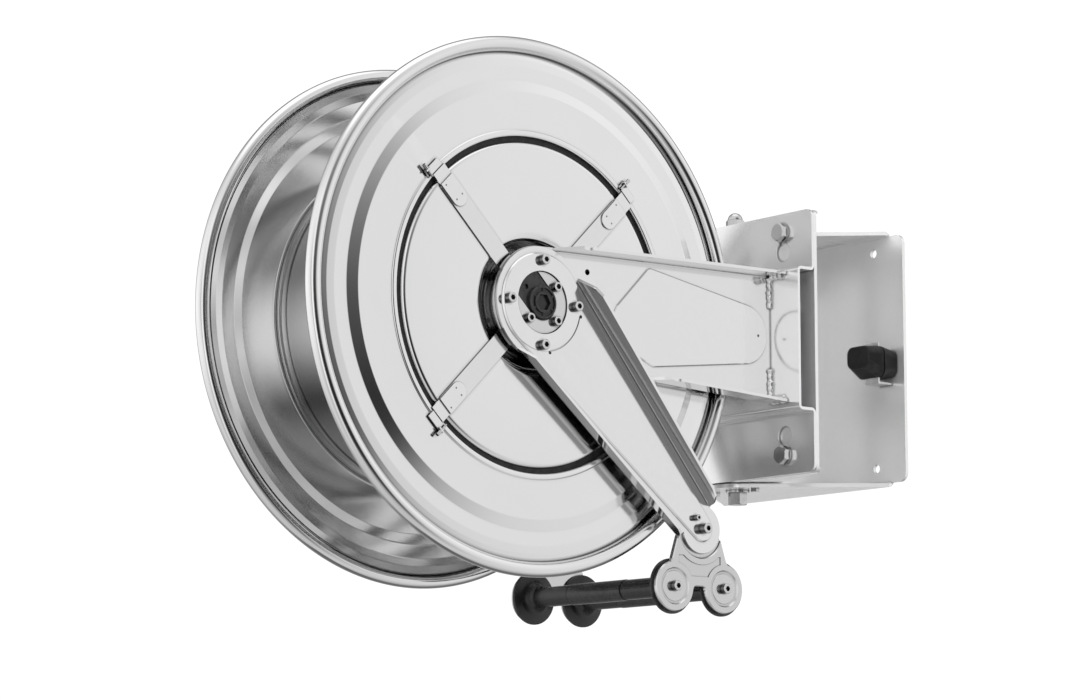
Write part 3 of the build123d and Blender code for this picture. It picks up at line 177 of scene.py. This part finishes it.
def knurl_shade_mask():
    """Mask of a screw's sides, round its axis along Y, with fine streaks along it; used for painted shade of
    the knurling.
    """
    tree, enter, leave = group("painted knurl shade", [("Pitch", FLOAT, 1400.0)], [("Mask", FLOAT)])
    shape = add(tree, "NewGeometry")
    facing = add(tree, "SeparateXYZ", None, n0=shape.outputs["Normal"])
    side = spread(tree, math(tree, "ABSOLUTE", facing.outputs[1]), 0.75, 0.45)
    place = add(tree, "TexCoord")
    long = add(tree, "CombineXYZ", None, n0=enter.outputs["Pitch"], n1=40.0, n2=enter.outputs["Pitch"])
    drawn = add(tree, "VectorMath", {"operation": "MULTIPLY"}, n0=place.outputs["Object"],
                n1=long.outputs[0])
    streaks = add(tree, "TexNoise", None, Vector=drawn.outputs[0], Scale=1.0, Detail=2.0)
    mask = math(tree, "MULTIPLY", side, spread(tree, streaks.outputs[0], 0.25, 0.6, 0.65, 1.0))
    tree.links.new(mask, leave.inputs["Mask"])
    return tree


MARKS = rolling_marks()
EDGE_HIGHLIGHT = edge_highlight()
CORNER_SHADE = painted_corner_shade()
KNURL_SHADE = knurl_shade_mask()


def placed(tree, shared, **inputs):
    """One of the shared groups, put in a material with its inputs."""
    node = tree.nodes.new("ShaderNodeGroup")
    node.node_tree = shared
    for key, value in inputs.items():
        if isinstance(value, bpy.types.NodeSocket):
            tree.links.new(value, node.inputs[key])
        else:
            node.inputs[key].default_value = value
    return node


def new_material(name):
    mat = bpy.data.materials.new(name)
    mat.use_nodes = True
    tree = mat.node_tree
    shader = tree.nodes["Principled BSDF"]
    return mat, tree, shader


def steel(name, tone, along, base, grain, smear, bump=0.0, tint=(1, 1, 1), metal=1.0, corner_shade=0.8,
          reach=3.0, knurl_shade=False):
    """Bare steel: tone sets how light, along the grain's direction and fineness."""
    def shade(part):
        return tuple(min(1.0, tone * part) * c for c in tint) + (1.0,)

    mat, tree, shader = new_material(name)
    marks = placed(tree, MARKS, Along=along, Grain=grain, Smear=smear, Base=base)
    edges = placed(tree, EDGE_HIGHLIGHT, Width=0.08, Break=0.5)
    corners = placed(tree, CORNER_SHADE, Reach=reach * MM, Strength=corner_shade)
    colour = add(tree, "Mix", {"data_type": "RGBA"}, n0=marks.outputs["Shade"], n6=shade(0.98),
                 n7=shade(1.02)).outputs[2]
    # painted highlight: the colour lightens a little on sharp convex edges
    colour = add(tree, "Mix", {"data_type": "RGBA"}, n0=edges.outputs["Mask"], n6=colour,
                 n7=shade(1.03)).outputs[2]
    # painted shade: a screw's knurled sides darkened to a fifth of the tone, with streaks along them
    if knurl_shade:
        sides = placed(tree, KNURL_SHADE)
        colour = add(tree, "Mix", {"data_type": "RGBA"}, n0=sides.outputs["Mask"], n6=colour,
                     n7=shade(0.2)).outputs[2]
    # painted shade: the colour darkens towards a near-black tone in tight corners
    colour = add(tree, "Mix", {"data_type": "RGBA"}, n0=corners.outputs["Mask"], n6=colour,
                 n7=shade(0.08)).outputs[2]
    tree.links.new(colour, shader.inputs["Base Color"])
    tree.links.new(marks.outputs["Roughness"], shader.inputs["Roughness"])
    shader.inputs["Metallic"].default_value = metal
    if bump:
        relief = add(tree, "Bump", None, Strength=bump, Distance=0.0002, Height=marks.outputs["Height"])
        tree.links.new(relief.outputs[0], shader.inputs["Normal"])
    return mat


def moulding(name, tone, rough, bump, scale, gloss=0.25):
    """Black moulded polymer with a fine spark-eroded texture."""
    mat, tree, shader = new_material(name)
    place = add(tree, "TexCoord")
    noise = add(tree, "TexNoise", None, Vector=place.outputs["Object"], Scale=scale, Detail=4.0)
    wide = add(tree, "TexNoise", None, Vector=place.outputs["Object"], Scale=25.0, Detail=3.0)
    edges = placed(tree, EDGE_HIGHLIGHT, Width=0.1, Break=0.7)
    base = add(tree, "Mix", {"data_type": "RGBA"}, n0=wide.outputs[0],
               n6=(tone * 0.75,) * 3 + (1.0,), n7=(tone * 1.3,) * 3 + (1.0,))
    # painted highlight: sharp edges lightened to several times the tone
    edge_lit = add(tree, "Mix", {"data_type": "RGBA"}, n0=edges.outputs["Mask"],
                 n6=base.outputs[2], n7=(tone * 3.5,) * 3 + (1.0,))
    tree.links.new(edge_lit.outputs[2], shader.inputs["Base Color"])
    tree.links.new(spread(tree, noise.outputs[0], 0.2, 0.8, rough - 0.08, rough + 0.08),
                   shader.inputs["Roughness"])
    relief = add(tree, "Bump", None, Strength=bump, Distance=0.0002, Height=noise.outputs[0])
    tree.links.new(relief.outputs[0], shader.inputs["Normal"])
    shader.inputs["IOR"].default_value = 1.5
    shader.inputs["Specular IOR Level"].default_value = gloss
    return mat


FINISH = {
    "stainless_bright": steel("spun_stainless", tone=0.79, along=(60, 60, 60), base=0.13, grain=0.01,
                              smear=0.03, reach=4.0),
    "stainless_sheet": steel("bright_sheet", tone=0.755, along=(30, 30, 900), base=0.11, grain=0.01,
                             smear=0.015, bump=0.01, corner_shade=0.6),
    "bracket_steel": steel("satin_plate", tone=0.90, along=(30, 900, 30), base=0.22, grain=0.05,
                           smear=0.06, bump=0.02, metal=0.62),
    "zinc_screws": steel("zinc_steel", tone=0.62, along=(300, 300, 300), base=0.14, grain=0.06,
                         smear=0.08, bump=0.03),
    "turned_steel": steel("oiled_turned_steel", tone=0.16, along=(200, 200, 200), base=0.28, grain=0.08,
                          smear=0.08),
    "bronze": steel("sintered_bronze", tone=0.55, along=(400, 400, 400), base=0.40, grain=0.10,
                    smear=0.10, bump=0.05, tint=(0.85, 0.62, 0.32)),
    "spring_steel": steel("blued_strip", tone=0.25, along=(30, 600, 30), base=0.30, grain=0.08,
                          smear=0.08, tint=(0.8, 0.86, 1.0)),
    "black_rubber": moulding("moulded_rubber", tone=0.010, rough=0.50, bump=0.25, scale=900.0),
    "black_plastic": moulding("moulded_polyamide", tone=0.012, rough=0.24, bump=0.08, scale=1100.0,
                              gloss=0.42),
}
STRAP_STEEL = steel("strap_steel", tone=0.73, along=(900, 30, 900), base=0.16, grain=0.02, smear=0.03,
                    bump=0.01, reach=2.0)
ROLLER_PLATE_STEEL = steel("stamped_plate", tone=0.61, along=(900, 30, 900), base=0.16, grain=0.04,
                           smear=0.05, bump=0.03, reach=2.0)
WELD_STEEL = steel("weld_metal", tone=0.92, along=(500, 500, 500), base=0.22, grain=0.08, smear=0.10,
                   bump=0.10, corner_shade=0.1, reach=1.0, metal=0.8)
SOCKET_SCREW_STEEL = steel("socket_screw_steel", tone=0.60, along=(300, 300, 300), base=0.13, grain=0.06,
                           smear=0.08, knurl_shade=True)
BASE_STEEL = steel("base_sheet", tone=0.86, along=(30, 900, 30), base=0.15, grain=0.03, smear=0.05,
                   metal=0.80, corner_shade=0.6)
SPECIAL = {"tie_straps": STRAP_STEEL, "roller_plate": ROLLER_PLATE_STEEL, "base_channel": BASE_STEEL}
for node in ("head_screws", "clamp_screws", "tail_screws", "roller_screws", "strap_screws", "hub_screws"):
    SPECIAL[node] = SOCKET_SCREW_STEEL
SHARP_SHEET = ("stainless_sheet", "bracket_steel", "zinc_screws")
slots = {entry["node"]: entry["material_slot"] for entry in frame["record"]["subparts"]}
for node, obj in frame["nodes"].items():
    for slot in obj.material_slots:
        special = [finish for start, finish in SPECIAL.items() if node.startswith(start)]
        slot.material = special[0] if special else FINISH[slots[node]]
    if slots[node] in SHARP_SHEET:
        eased = obj.modifiers.new("eased_edges", "BEVEL")
        eased.width = 0.35 * MM
        eased.segments = 2
        eased.limit_method = "ANGLE"
        eased.angle_limit = radians(40)
        eased.harden_normals = True


# ---------------------------------------------------------------- sheet sections and turned meshes
def bent_path(points, radii, steps=7):
    """Points along a path with its corners rounded by arcs."""
    path = [Vector(points[0])]
    for before, here, after, radius in zip(points, points[1:], points[2:], radii):
        here = Vector(here)
        back = (Vector(before) - here).normalized()
        on = (Vector(after) - here).normalized()
        half = back.angle(on) / 2
        if radius <= 0 or half > pi / 2 - 0.001:
            path.append(here)
            continue
        reach = radius * cos(half) / sin(half)
        centre = here + (back + on).normalized() * (radius / sin(half))
        start = here + back * reach - centre
        end = here + on * reach - centre
        turn = start.angle_signed(end)
        for k in range(steps + 1):
            bend = Matrix.Rotation(-turn * k / steps, 2)
            path.append(centre + bend @ start)
    path.append(Vector(points[-1]))
    return path


def sheet_loop(path, sheet):
    """Closed section: the path, and back along its right-hand side at the sheet's thickness."""
    back = []
    for k, here in enumerate(path):
        a = path[max(k - 1, 0)]
        b = path[min(k + 1, len(path) - 1)]
        along = (b - a).normalized()
        back.append(here + Vector((along.y, -along.x)) * sheet)
    return path + back[::-1]


def turned(name, body, loop, centre, side, finish, segments, sharp=30):
    """Closed section (radius, height) swept round an axis along Y, height outwards on that side."""
    mesh = bpy.data.meshes.new(name)
    verts, faces = [], []
    count = len(loop)
    for k in range(segments):
        angle = 2 * pi * k / segments
        for radius, height in loop:
            verts.append((centre[0] + radius * MM * cos(angle), centre[1] + side * height * MM,
                          centre[2] + radius * MM * sin(angle)))
    for k in range(segments):
        on = (k + 1) % segments
        for j in range(count):
            nxt = (j + 1) % count
            faces.append((k * count + j, k * count + nxt, on * count + nxt, on * count + j))
    mesh.from_pydata(verts, [], faces)
    return finished(name, body, mesh, finish, sharp)


def finished(name, body, mesh, finish, sharp=30, look=None):
    """Object from a mesh, with its normals, shading and material, riding on a body."""
    solid = bmesh.new()
    solid.from_mesh(mesh)
    bmesh.ops.recalc_face_normals(solid, faces=solid.faces)
    solid.to_mesh(mesh)
    solid.free()
    mesh.update()
    mesh.shade_smooth()
    mesh.set_sharp_from_angle(angle=radians(sharp))
    mesh.materials.append(look or FINISH[finish])
    obj = bpy.data.objects.new(name, mesh)
    bpy.context.scene.collection.objects.link(obj)
    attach(obj, body)
    return obj


# ---------------------------------------------------------------- drum flanges
SHEET = 1.5
DRUM_R = 165.0
FACE_OUT = 98.5              # out from the drum's middle to the straps' seat
RIM_OUT = 93.5               # the flange's flat ring
ANNULUS_OUT = FACE_OUT - 1.2
COLLAR_R = DRUM_R + 0.2
COLLAR_LOW = FACE_OUT - 13.0 - SHEET
LIP_R = COLLAR_R + 5.0
LIP_FOOT_R = LIP_R + 1.5
ANNULUS_R = 210.0
STEP_R = 221.0
BEND_R = 235.0
GROOVE_R = 243.0
BEAD_R = 7.5
BEAD_START = radians(187)
BEAD_TURN = radians(300)
BEAD_STEPS = 40
NECK_R = 44.1
RECESS_R = 53.0
RECESS_LIP_R = 66.0
DISC_R = 160.0
DISC_FOOT_R = 163.3
DISC_FOOT = FACE_OUT - 13.15   # just below the hub screws' ends


def flange_loop():
    """Section of the flange: collar, rolled lip, raised ring, step, flat ring and rolled bead."""
    bead = Vector((FLANGE_R - BEAD_R, RIM_OUT - 2))
    touch = bead + BEAD_R * Vector((cos(BEAD_START), sin(BEAD_START)))
    points = [(COLLAR_R, COLLAR_LOW), (COLLAR_R, FACE_OUT), (LIP_R, FACE_OUT), (LIP_FOOT_R, ANNULUS_OUT),
              (ANNULUS_R, ANNULUS_OUT), (STEP_R, RIM_OUT), (BEND_R, RIM_OUT), (GROOVE_R, RIM_OUT - 1),
              tuple(touch)]
    path = bent_path(points, [2, 2, 1, 4, 4, 12, 8])
    for k in range(1, BEAD_STEPS + 1):
        angle = BEAD_START - BEAD_TURN * k / BEAD_STEPS
        path.append(bead + BEAD_R * Vector((cos(angle), sin(angle))))
    return sheet_loop(path, SHEET)


def disc_loop():
    """Section of the dished disc: recess floor, face, skirt and foot."""
    points = [(NECK_R, DISC_FOOT), (RECESS_R, DISC_FOOT), (RECESS_LIP_R, FACE_OUT), (DISC_R, FACE_OUT),
              (DISC_R, DISC_FOOT), (DISC_FOOT_R, DISC_FOOT)]
    return sheet_loop(bent_path(points, [8, 14, 5, 2], 12), SHEET)


drum_centre = (REEL_X, DRUM_Y, REEL_Z)
for tag, side in (("front", -1), ("rear", 1)):
    rim = turned("flange_sheet_" + tag, "drum", flange_loop(), drum_centre, side, "stainless_bright", 360)
    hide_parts("drum_flange_" + tag)
    dish = turned("dished_disc_" + tag, "drum", disc_loop(), drum_centre, side, "stainless_bright", 256)
    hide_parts("side_disc_" + tag)


# ---------------------------------------------------------------- guide rollers
ROLLER_END = 108.5
ROLLER_BORE_R = 5.6
TUBE_R = 10.8
SLEEVE_R = 10.3
ROLLER_DISC_R = 27.5
JOINT = 42.0                 # from the roller's middle to the groove between two lengths
GROOVE_DEPTH = 0.9


def roller_loop():
    """Half of the long roller out from its middle, mirrored: tube, joint groove, trumpet and end disc."""
    groove_r = TUBE_R - GROOVE_DEPTH
    half = [(TUBE_R, JOINT - 0.9), (groove_r, JOINT - 0.5), (groove_r, JOINT + 0.5), (SLEEVE_R, JOINT + 0.9)]
    trumpet = [(SLEEVE_R, ROLLER_END - 22), (SLEEVE_R + 0.4, ROLLER_END - 5.2),
               (ROLLER_DISC_R - 1, ROLLER_END - 2.6)]
    half += [tuple(point) for point in bent_path(trumpet, [11], 14)]
    half += [(ROLLER_DISC_R, ROLLER_END - 1.6), (ROLLER_DISC_R, ROLLER_END)]
    mirrored = [(radius, -height) for radius, height in half[::-1]]
    return mirrored + half + [(ROLLER_BORE_R, ROLLER_END), (ROLLER_BORE_R, -ROLLER_END)]


for tag in ("left", "right"):
    node = "roller_" + tag
    body = "guide_roller_" + tag
    sleeve = turned("spool_" + tag, body, roller_loop(), middle(node), 1, "black_plastic", 96, 25)
    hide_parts(node)


# ---------------------------------------------------------------- welds between the fixed arms and the base
WELD_WIDTH = 8.5
WELD_LENGTH = 33
WELD_INSET = 3.5             # from the arm's edges to the bead's middle
WELD_STEP = 0.4
WELD_SIDES = 14
WELD_RIPPLE = 1.9            # length of one scale


def weld_bead(name, start, end):
    """Lumpy bead laid from start to end (mm), built of overlapping scales."""
    start, end = Vector(start), Vector(end)
    along = (end - start).normalized()
    side = along.orthogonal().normalized()
    over = along.cross(side)
    steps = int((end - start).length / WELD_STEP)
    mesh = bpy.data.meshes.new(name)
    verts, faces = [], []
    for k in range(steps + 1):
        reached = k * WELD_STEP
        taper = min(1.0, 0.35 + reached / 2.0, 0.35 + (steps * WELD_STEP - reached) / 2.0)
        scale = 1 - 0.05 * ((reached / WELD_RIPPLE) % 1.0)
        wander = 0.10 * WELD_WIDTH * sin(reached * 0.7) * sin(reached * 0.29 + 1)
        for j in range(WELD_SIDES):
            turn = 2 * pi * j / WELD_SIDES
            rough = 1 + 0.05 * sin(3 * turn + reached * 0.8) + 0.03 * sin(5 * turn - reached * 1.1)
            radius = WELD_WIDTH / 2 * taper * scale * rough
            sideways = radius * cos(turn) + wander
            spot = start + along * reached + side * sideways + over * radius * sin(turn)
            verts.append(spot * MM)
    for k in range(steps):
        here, after = k * WELD_SIDES, (k + 1) * WELD_SIDES
        for j in range(WELD_SIDES):
            on = (j + 1) % WELD_SIDES
            faces.append((here + j, here + on, after + on, after + j))
    faces.append(tuple(range(WELD_SIDES))[::-1])
    faces.append(tuple(steps * WELD_SIDES + j for j in range(WELD_SIDES)))
    mesh.from_pydata(verts, [], faces)
    return finished(name, "swivel", mesh, "stainless_sheet", 60, WELD_STEEL)


def arm_welds():
    """Four beads on each fixed arm: two down its sheet and one along each flange."""
    for tag, side in (("front", -1), ("rear", 1)):
        low_corner = corner("arm_" + tag, False)
        high_corner = corner("arm_" + tag, True)
        seam = high_corner[0] / MM
        outs = sorted(abs(end[1]) / MM for end in (low_corner, high_corner))
        web = side * (outs[0] + 3.0)
        lip = side * (outs[1] - 3.0)
        top = high_corner[2] / MM - WELD_INSET
        low = low_corner[2] / MM + WELD_INSET
        runs = [((seam, web, top), (seam, web, top - WELD_LENGTH)),
                ((seam, web, low + WELD_LENGTH), (seam, web, low)),
                ((seam, web + side * 2, top), (seam, lip, top)),
                ((seam, web + side * 2, low), (seam, lip, low))]
        for count, (start, end) in enumerate(runs):
            weld_bead("weld_" + tag + "_" + str(count), start, end)


arm_welds()


# ---------------------------------------------------------------- floor, light and camera
FLOOR_HALF = 40              # metres
FLOOR_DROP = 1.2


def plain_floor():
    """Wide pale floor well below the reel, left out of its reflections."""
    mesh = bpy.data.meshes.new("floor")
    half = FLOOR_HALF
    corners = [(-half, -half, 0), (half, -half, 0), (half, half, 0), (-half, half, 0)]
    mesh.from_pydata(corners, [], [(0, 1, 2, 3)])
    obj = bpy.data.objects.new("floor", mesh)
    obj.location.z = LOWEST - FLOOR_DROP
    mat, tree, shader = new_material("pale_floor")
    shader.inputs["Base Color"].default_value = (0.86, 0.86, 0.86, 1)
    shader.inputs["Roughness"].default_value = 0.7
    mesh.materials.append(mat)
    obj.visible_glossy = False
    bpy.context.scene.collection.objects.link(obj)


def softbox(name, place, target, width, height, power):
    """Rectangular lamp aimed at the target, left out of reflections."""
    light = bpy.data.lights.new(name, "AREA")
    light.shape = "RECTANGLE"
    light.size, light.size_y, light.energy = width, height, power
    obj = bpy.data.objects.new(name, light)
    obj.visible_glossy = False
    obj.location = place
    obj.rotation_euler = (Vector(target) - Vector(place)).to_track_quat("-Z", "Y").to_euler()
    bpy.context.scene.collection.objects.link(obj)


def light_row(tree, turn, stops):
    """Brightness round the room at one height, from headings in degrees and their levels."""
    row = tree.nodes.new("ShaderNodeValToRGB")
    tree.links.new(turn, row.inputs[0])
    while len(row.color_ramp.elements) < len(stops):
        row.color_ramp.elements.new(0.5)
    for element, (heading, level) in zip(row.color_ramp.elements, stops):
        element.position = (heading + 180) / 360
        element.color = (level, level, level, 1)
    return row.outputs[0]


# Light levels round the studio at six heights, each a row of (heading in degrees, level).
# Heading -90 faces the front.
ROOM = [
    (-0.85, [
        (-180, 0.55), (-110, 0.50), (-60, 0.60), (-20, 0.45), (20, 0.12), (90, 0.12), (120, 0.50),
        (180, 0.55)
    ]),
    (-0.47, [
        (-180, 0.62), (-152, 0.45), (-144, 0.75), (-128, 0.75), (-122, 0.30), (-116, 0.04),
        (-98, 0.02), (-80, 0.03), (-75, 0.22), (-66, 0.46), (-55, 0.64), (-35, 0.70), (-15, 0.42),
        (0, 0.10), (72, 0.26), (90, 0.30), (105, 0.34), (125, 0.45), (150, 0.70), (180, 0.62)
    ]),
    (-0.14, [
        (-180, 0.84), (-160, 0.80), (-150, 0.40), (-144, 0.90), (-128, 0.95), (-124, 0.45),
        (-120, 0.04), (-96, 0.01), (-81, 0.03), (-76, 0.22), (-70, 0.56), (-55, 0.68), (-30, 0.74),
        (-12, 0.70), (0, 0.20), (10, 0.05), (34, 0.05), (44, 0.45), (58, 0.45), (68, 0.30), (88, 0.30),
        (98, 0.46), (112, 0.80), (140, 0.85), (160, 0.88), (180, 0.84)
    ]),
    (0.14, [
        (-180, 0.80), (-160, 0.62), (-150, 0.36), (-144, 0.90), (-128, 0.95), (-124, 0.45),
        (-119, 0.06), (-98, 0.02), (-88, 0.10), (-79, 0.26), (-71, 0.62), (-55, 0.74), (-40, 0.77),
        (-25, 0.82), (-10, 0.72), (0, 0.30), (12, 0.06), (36, 0.06), (41, 0.90), (61, 0.90),
        (66, 0.30), (88, 0.30), (98, 0.70), (112, 0.95), (150, 0.95), (180, 0.80)
    ]),
    (0.55, [
        (-180, 0.82), (-145, 0.88), (-126, 0.80), (-118, 0.25), (-90, 0.22), (-78, 0.42), (-64, 0.66),
        (-35, 0.88), (-12, 0.82), (5, 0.30), (60, 0.14), (92, 0.25), (115, 0.60), (150, 0.85),
        (180, 0.82)
    ]),
    (0.74, [
        (-180, 0.75), (-100, 0.60), (-60, 0.72), (-20, 0.70), (20, 0.30), (80, 0.20), (120, 0.55),
        (180, 0.75)
    ]),
]


def studio_world():
    """Studio room: light walls, a dark strip before the front, a dim wall behind, lit from above."""
    world = bpy.data.worlds.new("studio")
    bpy.context.scene.world = world
    world.use_nodes = True
    tree = world.node_tree
    tree.nodes.clear()
    place = add(tree, "TexCoord")
    split = add(tree, "SeparateXYZ", None, n0=place.outputs["Generated"])
    heading = math(tree, "ARCTAN2", split.outputs[1], split.outputs[0])
    turn = spread(tree, heading, -pi, pi)
    rise = split.outputs[2]
    room = light_row(tree, turn, ROOM[0][1])
    for (below, _), (height, stops) in zip(ROOM, ROOM[1:]):
        room = add(tree, "Mix", {"data_type": "RGBA"}, n0=spread(tree, rise, below, height),
                   n6=room, n7=light_row(tree, turn, stops)).outputs[2]
    lamp = add(tree, "Mix", {"data_type": "RGBA"}, n0=spread(tree, rise, 0.82, 0.92), n6=room,
               n7=(1.1, 1.1, 1.1, 1.0))
    reflected = add(tree, "Background", None, Color=lamp.outputs[2], Strength=1.24)
    white = add(tree, "Background", None, Color=(1, 1, 1, 1), Strength=1.05)
    path = add(tree, "LightPath")
    both = add(tree, "MixShader", None, n0=path.outputs["Is Camera Ray"], n1=reflected.outputs[0],
               n2=white.outputs[0])
    out = tree.nodes.new("ShaderNodeOutputWorld")
    tree.links.new(both.outputs[0], out.inputs[0])


CAMERA_PLACE = (-2.44765, -2.528, -0.50191)
CAMERA_LENS = 108.3
CAMERA_RISE = 8.537          # degrees above level
CAMERA_TURN = -39.397        # degrees from +Y


def reel_camera():
    """Long lens from the front left, a little below the reel."""
    data = bpy.data.cameras.new("camera")
    data.lens = CAMERA_LENS
    data.sensor_width = 36.0
    data.sensor_fit = "HORIZONTAL"
    data.clip_end = 60
    obj = bpy.data.objects.new("camera", data)
    obj.location = CAMERA_PLACE
    obj.rotation_euler = (radians(90 + CAMERA_RISE), 0, radians(CAMERA_TURN))
    bpy.context.scene.collection.objects.link(obj)
    bpy.context.scene.camera = obj


plain_floor()
softbox("key_light", (-2.2, -1.4, 2.4), (REEL_X, 0, REEL_Z), 1.4, 1.4, 14)
softbox("side_light", (-3.4, 1.0, 0.4), (REEL_X, 0, REEL_Z), 0.7, 2.2, 6)
studio_world()
reel_camera()
bpy.context.scene.view_settings.view_transform = "Standard"
